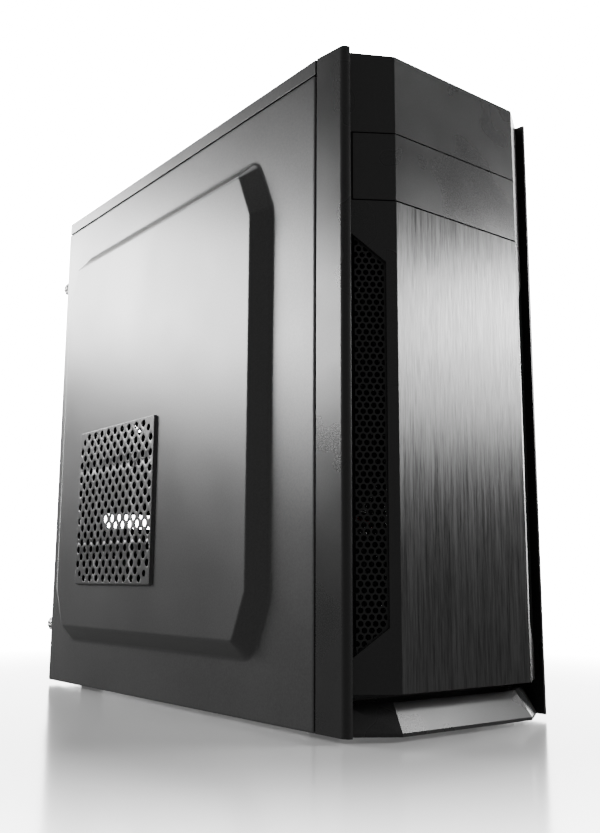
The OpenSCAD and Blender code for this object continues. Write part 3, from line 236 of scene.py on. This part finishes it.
def case_paint():
    """Powder coat: fine bead texture, faint clouding."""
    m = Paint("case_paint", metallic=0.25, Specular_IOR_Level=0.9)
    bead = m.cells(1100, feature="SMOOTH_F1")
    cloud = m.noise(14, detail=4)
    return m.surface(m.blend(m.sum(m.noise(900), cloud, 0.4), grey(0.050), grey(0.080), 0.4, 1.0),
                     m.span(cloud, 0.30, 0.35), bead, 0.00006, 0.2)


def bezel_plastic():
    """Moulded plastic with a spark-eroded grain."""
    m = Paint("bezel_plastic", Specular_IOR_Level=0.55)
    grain = m.noise(1500, detail=3)
    drift = m.noise(22, detail=2)
    return m.surface(m.blend(grain, grey(0.018), grey(0.028)), m.span(drift, 0.25, 0.32),
                     grain, 0.00005, 0.1)


def brushed(name, dark, light, along, low=0.24, high=0.42, spread=0.0):
    """Brushed metal. along is the direction of the grain: 0, 1 or 2. spread is the
    anisotropy of the highlight, which runs across a vertical grain."""
    m = Paint(name, metallic=1.0, Anisotropic=spread)
    if spread:
        tangent = m.node("Tangent", direction_type="RADIAL", axis="Z")
        m.put(tangent.outputs["Tangent"], m.shader.inputs["Tangent"])
    fine = [1300.0] * 3
    broad = [520.0] * 3
    fine[along] = 55.0
    broad[along] = 16.0
    hair = m.noise(1, tuple(fine), detail=3, roughness=0.7)
    streak = m.noise(1, tuple(broad), detail=2)
    both = m.sum(hair, streak, 0.7)
    return m.surface(m.blend(both, dark, light, 0.55, 1.15), m.span(streak, low, high),
                     hair, 0.00012, 0.45)


def moulded(name, colour, roughness=0.45, grain_scale=1300):
    """Plain moulded plastic or rubber with a fine grain and slight drift of tone."""
    m = Paint(name, Specular_IOR_Level=0.5)
    grain = m.noise(grain_scale, detail=3)
    drift = m.noise(40, detail=2)
    pale = tuple(c * 1.35 + 0.002 for c in colour)
    return m.surface(m.blend(drift, colour, pale),
                     m.span(drift, roughness - 0.06, roughness + 0.06), grain, 0.0001, 0.3)


def plated(name, dark, light, roughness=0.28):
    """Plated or turned metal: soft blotches and fine marks."""
    m = Paint(name, metallic=1.0)
    spangle = m.cells(260)
    marks = m.noise(700, (1, 1, 3), detail=4)
    return m.surface(m.blend(spangle, dark, light, 0.0, 0.9),
                     m.span(marks, roughness, roughness + 0.16), marks, 0.00006, 0.3)


def board_laminate():
    """Solder resist over copper tracks, with rows of pads."""
    m = Paint("board_laminate", Specular_IOR_Level=0.6)
    tracks = m.node("TexBrick", offset=0.5, squash=1.0)
    m.put(m.coords((1, 1, 1), (0, math.pi / 2, 0)), tracks.inputs["Vector"])
    for socket, value in (("Scale", 180.0), ("Mortar Size", 0.03), ("Brick Width", 0.9),
                          ("Row Height", 0.3)):
        tracks.inputs[socket].default_value = value
    lift = m.sum(tracks.outputs["Fac"], m.noise(420, detail=2), 0.3)
    return m.surface(m.blend(lift, (0.006, 0.020, 0.014), (0.020, 0.075, 0.045), 0.1, 0.9),
                     m.span(m.noise(60), 0.25, 0.4), lift, 0.00006, 0.6)


def cable_sleeve():
    """Braided sleeve: two crossed sets of strands."""
    m = Paint("cable_sleeve", Sheen_Weight=0.3)
    one = m.node("TexWave", bands_direction="DIAGONAL")
    two = m.node("TexWave", bands_direction="DIAGONAL")
    for wave, way in ((one, 1), (two, -1)):
        m.put(m.coords((way, 1, 1)), wave.inputs["Vector"])
        wave.inputs["Scale"].default_value = 260
    weave = m.sum(one.outputs["Fac"], two.outputs["Fac"])
    return m.surface(m.blend(weave, grey(0.006), grey(0.05), 0.2, 1.6), m.span(weave, 0.55, 0.8),
                     weave, 0.0003, 0.6)


def light_pipe():
    """Clear acrylic with faint moulding lines."""
    m = Paint("light_pipe", Transmission_Weight=0.8, IOR=1.49)
    lines = m.noise(500, (1, 1, 0.2))
    return m.surface(m.blend(lines, (0.62, 0.72, 0.80), (0.85, 0.92, 0.97)),
                     m.span(lines, 0.08, 0.2), lines, 0.00005, 0.2)


MATERIALS = {
    "case_paint": case_paint(),
    "zinc_steel": plated("zinc_steel", grey(0.36, 0.02), grey(0.46), 0.30),
    "bezel_plastic": bezel_plastic(),
    "brushed_face": brushed("brushed_face", grey(0.06), grey(0.15), 2, 0.29, 0.40, 0.7),
    "mesh_black": moulded("mesh_black", grey(0.014), 0.4),
    "key_plastic": moulded("key_plastic", grey(0.035), 0.25),
    "light_pipe": light_pipe(),
    "foot_rubber": moulded("foot_rubber", grey(0.014), 0.75, 600),
    "board_laminate": board_laminate(),
    "brass_post": plated("brass_post", (0.50, 0.34, 0.12), (0.72, 0.53, 0.22)),
    "bright_metal": plated("bright_metal", grey(0.50), grey(0.72), 0.18),
    "fin_aluminium": brushed("fin_aluminium", grey(0.45), grey(0.72), 1, 0.25, 0.4),
    "black_plastic": moulded("black_plastic", grey(0.016), 0.42),
    "ivory_plastic": moulded("ivory_plastic", (0.52, 0.46, 0.33), 0.4),
    "psu_steel": moulded("psu_steel", grey(0.085), 0.42, 800),
    "drive_case": brushed("drive_case", grey(0.07), grey(0.14), 2, 0.35, 0.5),
    "cable_sleeve": cable_sleeve(),
    "data_lead": moulded("data_lead", (0.22, 0.010, 0.012), 0.4),
}


# ---- Mesh helpers ----

def new_object(name, bm, node, material=None, sharp=28):
    """Turns bm into an object that stands for the CAD node and rides on its body."""
    mesh = bpy.data.meshes.new(name)
    bm.to_mesh(mesh)
    bm.free()
    mesh.shade_smooth()
    mesh.set_sharp_from_angle(angle=math.radians(sharp))
    obj = bpy.data.objects.new(name, mesh)
    bpy.context.scene.collection.objects.link(obj)
    mesh.materials.append(material or MATERIALS[slot_of[node]])
    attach(obj, cad[node]["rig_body"])
    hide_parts(node)
    return obj


# Segments of each rounded corner of a ring, and of each side between two corners
ARC = 12
RUN = 6


def ring_points(w, h, r):
    """Closed rounded rectangle about (0, 0). Every ring has the same layout of points."""
    points = []
    corners = ((1, 1), (-1, 1), (-1, -1), (1, -1))
    for k, (sx, sy) in enumerate(corners):
        cx, cy = sx * (w / 2 - r), sy * (h / 2 - r)
        for i in range(ARC + 1):
            a = math.pi / 2 * (k + i / ARC)
            points.append((cx + r * math.cos(a), cy + r * math.sin(a)))
        nx, ny = corners[(k + 1) % 4]
        last = points[-1]
        b = math.pi / 2 * (k + 1)
        first = (nx * (w / 2 - r) + r * math.cos(b), ny * (h / 2 - r) + r * math.sin(b))
        for i in range(1, RUN):
            t = i / RUN
            points.append((last[0] + (first[0] - last[0]) * t, last[1] + (first[1] - last[1]) * t))
    return points


def cut_ring_points(w, h, cut, r, inset):
    """Rounded rectangle with its corners cut off, moved inwards by inset. cut is the
    width and height of the cut, r the radius of its ends at inset 0. The layout of
    points is that of ring_points."""
    lean = math.atan2(cut[0], cut[1])
    upright = (w / 2 - r, h / 2 - cut[1] - r * math.tan(lean / 2))
    level = (w / 2 - cut[0] - r * math.tan(math.pi / 4 - lean / 2), h / 2 - r)
    half = ARC // 2
    corners = []
    for k, (sx, sy) in enumerate(((1, 1), (-1, 1), (-1, -1), (1, -1))):
        ends = [(upright, 0, lean), (level, lean, math.pi / 2)]
        if k % 2:
            ends = [(level, 0, math.pi / 2 - lean), (upright, math.pi / 2 - lean, math.pi / 2)]
        points = []
        for ((cx, cy), start, stop), count in zip(ends, (half, half + 1)):
            for i in range(count):
                a = start + (stop - start) * i / half + math.pi / 2 * k
                points.append((sx * cx + (r - inset) * math.cos(a),
                               sy * cy + (r - inset) * math.sin(a)))
        corners.append(points)
    whole = []
    for points, after in zip(corners, corners[1:] + corners[:1]):
        whole += points
        (x0, y0), (x1, y1) = points[-1], after[0]
        whole += [(x0 + (x1 - x0) * i / RUN, y0 + (y1 - y0) * i / RUN) for i in range(1, RUN)]
    return whole


def bridge(bm, one, two):
    for i in range(len(one)):
        j = (i + 1) % len(one)
        bm.faces.new((one[i], one[j], two[j], two[i]))


def fillet_profile(run, rise, r_foot, r_crest, margin, steps=5):
    """(inset, height) points of a sloped wall with rounded foot and crest and a flat
    margin on both sides, which keeps the shading of the flats even."""
    slope = math.atan2(rise, run)
    back = r_foot * math.tan(slope / 2)
    points = [(-back - margin, 0)]
    for i in range(steps + 1):
        a = slope * i / steps
        points.append((-back + r_foot * math.sin(a), r_foot * (1 - math.cos(a))))
    back = r_crest * math.tan(slope / 2)
    for i in range(steps, -1, -1):
        a = slope * i / steps
        points.append((run + back - r_crest * math.sin(a), rise - r_crest * (1 - math.cos(a))))
    points.append((run + back + margin, rise))
    return points


# ---- Side panels ----

SHEET = 0.8 * MM
PANEL = {"front": 43 * MM, "rear": 20 * MM, "bottom": 35.3 * MM, "top": 35.2 * MM,
         "run": 11.5 * MM, "rise": 10.5 * MM, "r": 15.5 * MM, "cut": (17.5 * MM, 39.5 * MM),
         "foot_r": 4 * MM, "crest_r": 3 * MM, "margin": 1.5 * MM, "corner_r": 1.6 * MM}
# (inset, height) of the rings that round the outer edge
PANEL_EDGE = ((0, -1 * MM), (0.3 * MM, -0.3 * MM), (1 * MM, 0), (2 * MM, 0))
VENT = {"w": 122 * MM, "rise": 2.2 * MM, "pitch": 11.25 * MM, "r": 2.8 * MM, "screw_r": 2.5 * MM,
        "run": 0.4 * MM, "edge_r": 0.4 * MM, "margin": 0.05 * MM, "corner_r": 1.9 * MM}
FOLDS = {"side": 9 * MM, "front": 8 * MM, "rear": 12 * MM}


def quarter(turn, u, v):
    """(u, v) turned by a number of right angles."""
    for _ in range(turn):
        u, v = -v, u
    return u, v


def vent_sheet(bm, at, screw, rim_ring):
    """Perforated sheet: a diamond tile round each hole, a fan screw hole in each corner
    and a margin out to rim_ring. screw is half the spacing of the fan screws."""
    half = VENT["pitch"] / 2
    rows = 10
    limit = VENT["w"] / 2 - 1 * MM
    arc = 6
    made = {}

    def corner(u, v):
        u, v = (max(-limit, min(limit, c)) for c in (u, v))
        key = (round(u / MM, 2), round(v / MM, 2))
        if key not in made:
            made[key] = bm.verts.new(at(u, v))
        return made[key]

    def rim(u, v, r):
        return [bm.verts.new(at(u + r * math.cos(math.tau * i / (4 * arc)),
                                v + r * math.sin(math.tau * i / (4 * arc))))
                for i in range(4 * arc)]

    for row in range(-rows, rows + 1):
        for col in range(-rows + row % 2, rows + 1, 2):
            if abs(row) == abs(col) and abs(row) >= rows - 1:
                continue
            u, v = col * half, row * half
            ends = [corner(u + du * half, v + dv * half)
                    for du, dv in ((1, 0), (0, 1), (-1, 0), (0, -1))]
            hole = rim(u, v, VENT["r"])
            for k in range(4):
                stretch = [hole[(k * arc + i) % (4 * arc)] for i in range(arc + 1)]
                bm.faces.new([ends[k], ends[(k + 1) % 4]] + stretch[::-1])
    for turn in range(4):
        def spot(u, v):
            return corner(*quarter(turn, u, v))

        # Half tiles along one side
        steps = [k * half for k in range(rows, -rows - 1, -2)]
        for a, b in zip(steps, steps[1:]):
            bm.faces.new((spot(a, limit), spot(b, limit), spot((a + b) / 2, rows * half)))
        # Six-sided tile with the screw hole of one corner, and the corner itself
        last, near, far = rows * half, (rows - 1) * half, (rows - 2) * half
        hull = [spot(*p) for p in ((near, far), (last, near), (limit, last), (last, limit),
                                   (near, last), (far, near))]
        bm.faces.new((hull[2], spot(limit, limit), hull[3]))
        hole = rim(*quarter(turn, screw, screw), VENT["screw_r"])
        shift = turn * arc + arc // 2
        half_turn = 2 * arc
        outer = [hole[(shift + arc - i) % (4 * arc)] for i in range(half_turn + 1)]
        inner = [hole[(shift - arc - i) % (4 * arc)] for i in range(half_turn + 1)]
        bm.faces.new([hull[1], hull[2], hull[3], hull[4]] + outer)
        bm.faces.new([hull[4], hull[5], hull[0], hull[1]] + inner)
        # Margin between the tiles and the rim of the dish
        block = len(rim_ring) // 4
        start = turn * block + ARC // 2
        outside = [rim_ring[(start + i) % len(rim_ring)] for i in range(block + 1)]
        inside = [spot(limit, limit)] + [spot(s, limit) for s in steps] + [spot(-limit, limit)]
        bm.faces.new(outside + inside[::-1])


def add_folds(bm, ring, at):
    """Flanges that turn inwards from the straight runs of the outer ring."""
    block = len(ring) // 4
    for k, depth in enumerate((FOLDS["side"], FOLDS["front"], FOLDS["side"], FOLDS["rear"])):
        run = [ring[(k * block + ARC + i) % len(ring)] for i in range(block - ARC + 1)]
        deep = [bm.verts.new(at(v.co, depth)) for v in run]
        for i in range(len(run) - 1):
            bm.faces.new((run[i], deep[i], deep[i + 1], run[i + 1]))


def side_panel(side, node, vented):
    """Pressed steel panel: flat margin, raised field, folded edges and the fan dish."""
    length, low, high = panel_high.y - panel_low.y, panel_low.z, panel_high.z
    bm = bmesh.new()

    def at(u, v, h):
        return (middle_x + side * (half_w + h), steel_y + u, v)

    def ring(centre, points, height):
        return [bm.verts.new(at(centre[0] + u, centre[1] + v, height)) for u, v in points]

    middle = (length / 2, (low + high) / 2)
    rings = [ring(middle, ring_points(length - 2 * inset, high - low - 2 * inset,
                                      PANEL["corner_r"]), height)
             for inset, height in PANEL_EDGE]
    field_w = length - PANEL["front"] - PANEL["rear"]
    field_h = high - low - PANEL["bottom"] - PANEL["top"]
    centre = (PANEL["front"] + field_w / 2, low + PANEL["bottom"] + field_h / 2)
    for inset, height in fillet_profile(PANEL["run"], PANEL["rise"], PANEL["foot_r"],
                                        PANEL["crest_r"], PANEL["margin"]):
        outline = cut_ring_points(field_w, field_h, PANEL["cut"], PANEL["r"], inset)
        rings.append(ring(centre, outline, height))
    if vented:
        mount = next(m for m in frame["record"]["mounts"] if m["name"] == "side_fan_holes")
        screw = mount["dims"]["spacing_x_mm"] * MM / 2
        fan = (mount["pos_m"][1] - steel_y, mount["pos_m"][2])
        for inset, height in fillet_profile(VENT["run"], VENT["rise"], VENT["edge_r"],
                                            VENT["edge_r"], VENT["margin"], 3):
            side_w = VENT["w"] - 2 * inset
            rings.append(ring(fan, ring_points(side_w, side_w, VENT["corner_r"] - inset),
                              PANEL["rise"] + height))
    for one, two in zip(rings, rings[1:]):
        bridge(bm, one, two)
    if vented:
        vent_sheet(bm, lambda u, v: at(fan[0] + u, fan[1] + v, PANEL["rise"] + VENT["rise"]),
                   screw, rings[-1])
    else:
        bm.faces.new(rings[-1])
    flat_x = middle_x + side * half_w
    add_folds(bm, rings[0], lambda co, depth: (flat_x - side * depth, co.y, co.z))
    bmesh.ops.recalc_face_normals(bm, faces=bm.faces)
    if sum(f.normal.x * side * f.calc_area() for f in bm.faces) < 0:
        bmesh.ops.reverse_faces(bm, faces=bm.faces)
    obj = new_object(node + "_sheet", bm, node)
    solid = obj.modifiers.new("sheet", "SOLIDIFY")
    solid.thickness = SHEET
    solid.offset = -1
    even = obj.modifiers.new("even_shading", "WEIGHTED_NORMAL")
    even.keep_sharp = True
    return obj


side_panel(-1, "left_panel", True)
side_panel(1, "right_panel", False)


# ---- CAD nodes that stay: finish and softened edges ----

def soften(obj, width, angle=35):
    weld = obj.modifiers.new("weld", "WELD")
    weld.merge_threshold = 1e-5
    plane = obj.modifiers.new("planes", "DECIMATE")
    plane.decimate_type = "DISSOLVE"
    plane.angle_limit = math.radians(1)
    bevel = obj.modifiers.new("edges", "BEVEL")
    bevel.width = width
    bevel.segments = 2
    bevel.limit_method = "ANGLE"
    bevel.angle_limit = math.radians(angle)
    bevel.harden_normals = True


SOFT_EDGES = {
    "front_plate": 0.4, "top_cover": 0.4,
    "power_button": 0.4, "reset_button": 0.3, "foot_pads": 0.5, "rear_panel": 0.15,
    "base_pan": 0.2, "psu_case": 0.2, "mains_inlet": 0.2, "rocker_switch": 0.4,
    "slot_covers": 0.15, "rear_ports": 0.15, "hard_drive": 0.5, "solid_state_drive": 0.4,
    "heatsink": 0.1, "front_frame": 0.15, "optical_bay_cage": 0.2, "drive_cage": 0.2,
    "left_screw_upper": 0.25, "left_screw_lower": 0.25, "right_screw_upper": 0.25,
    "right_screw_lower": 0.25, "expansion_slots": 0.2, "memory_slots": 0.2,
    "power_sockets": 0.2, "regulator_heatsink": 0.1, "chipset_heatsink": 0.1,
}


def finish_node(name):
    obj = cad[name]
    material = MATERIALS[slot_of[name]]
    if not obj.material_slots:
        obj.data.materials.append(None)
    for slot in obj.material_slots:
        slot.link = "OBJECT"
        slot.material = material


for name in cad:
    finish_node(name)
for name in SOFT_EDGES:
    soften(cad[name], SOFT_EDGES[name] * MM)


# ---- Floor and backdrop ----

FLOOR_HALF = 7
# Floor glow by distance from the tower: dim near its foot as a painted shadow pool, bright further
# out.
FLOOR_GLOW_AND_SHADE = {"From Min": 0.20, "From Max": 0.90, "To Min": 0.1, "To Max": 16.0}
DOME_RADIUS = 9.5


def floor_material():
    """Glossy pale floor. Its glow grows from the foot of the tower outwards, so that the floor
    runs into the white backdrop. The dim glow near the foot is a painted shadow pool round the
    tower."""
    m = Paint("floor", Specular_IOR_Level=0.9, Emission_Color=(1, 1, 1, 1))
    away = m.node("VectorMath", operation="LENGTH")
    m.put(m.coords(), away.inputs[0])
    glow = m.node("MapRange", interpolation_type="SMOOTHERSTEP")
    m.put(away.outputs["Value"], glow.inputs["Value"])
    for socket, number in FLOOR_GLOW_AND_SHADE.items():
        glow.inputs[socket].default_value = number
    m.put(glow.outputs["Result"], m.shader.inputs["Emission Strength"])
    mottle = m.noise(3, detail=3)
    return m.surface(m.blend(mottle, grey(0.58), grey(0.62)), m.span(mottle, 0.13, 0.16),
                     mottle, 0.00001, 0.1)


def glow_material(name, strength):
    material = bpy.data.materials.new(name)
    material.use_nodes = True
    tree = material.node_tree
    tree.nodes.clear()
    out = tree.nodes.new("ShaderNodeOutputMaterial")
    glow = tree.nodes.new("ShaderNodeEmission")
    glow.inputs["Strength"].default_value = strength
    tree.links.new(glow.outputs[0], out.inputs["Surface"])
    return material


def wall_arc(bm, radius=6.5, low=-0.2, high=6.0, start=-5, end=88, steps=24):
    """Curved wall behind the tower, seen only in reflections. Angles run from +Y
    towards +X, in degrees."""
    columns = []
    for i in range(steps + 1):
        a = math.radians(start + (end - start) * i / steps)
        columns.append([bm.verts.new((radius * math.sin(a), radius * math.cos(a), z))
                        for z in (low, high)])
    for one, two in zip(columns, columns[1:]):
        bm.faces.new((one[0], two[0], two[1], one[1]))


def hide_from(obj, *rays):
    for ray in rays:
        setattr(obj, "visible_" + ray, False)


def add_stage():
    floor = stage_mesh("floor", lambda bm: bmesh.ops.create_grid(
        bm, x_segments=1, y_segments=1, size=FLOOR_HALF))
    floor.data.materials.append(floor_material())
    hide_from(floor, "glossy", "diffuse", "shadow")
    dome = stage_mesh("backdrop", lambda bm: bmesh.ops.create_uvsphere(
        bm, u_segments=48, v_segments=24, radius=DOME_RADIUS))
    dome.data.materials.append(glow_material("backdrop", 30.0))
    hide_from(dome, "glossy", "diffuse", "shadow", "volume_scatter")
    wall = stage_mesh("wall", wall_arc)
    wall.data.materials.append(glow_material("wall", 12.0))
    hide_from(wall, "camera", "diffuse", "shadow", "volume_scatter")
    world = bpy.data.worlds.new("studio")
    bpy.context.scene.world = world
    world.use_nodes = True
    back = world.node_tree.nodes["Background"]
    back.inputs["Color"].default_value = (1, 1, 1, 1)
    back.inputs["Strength"].default_value = 0.2


add_stage()
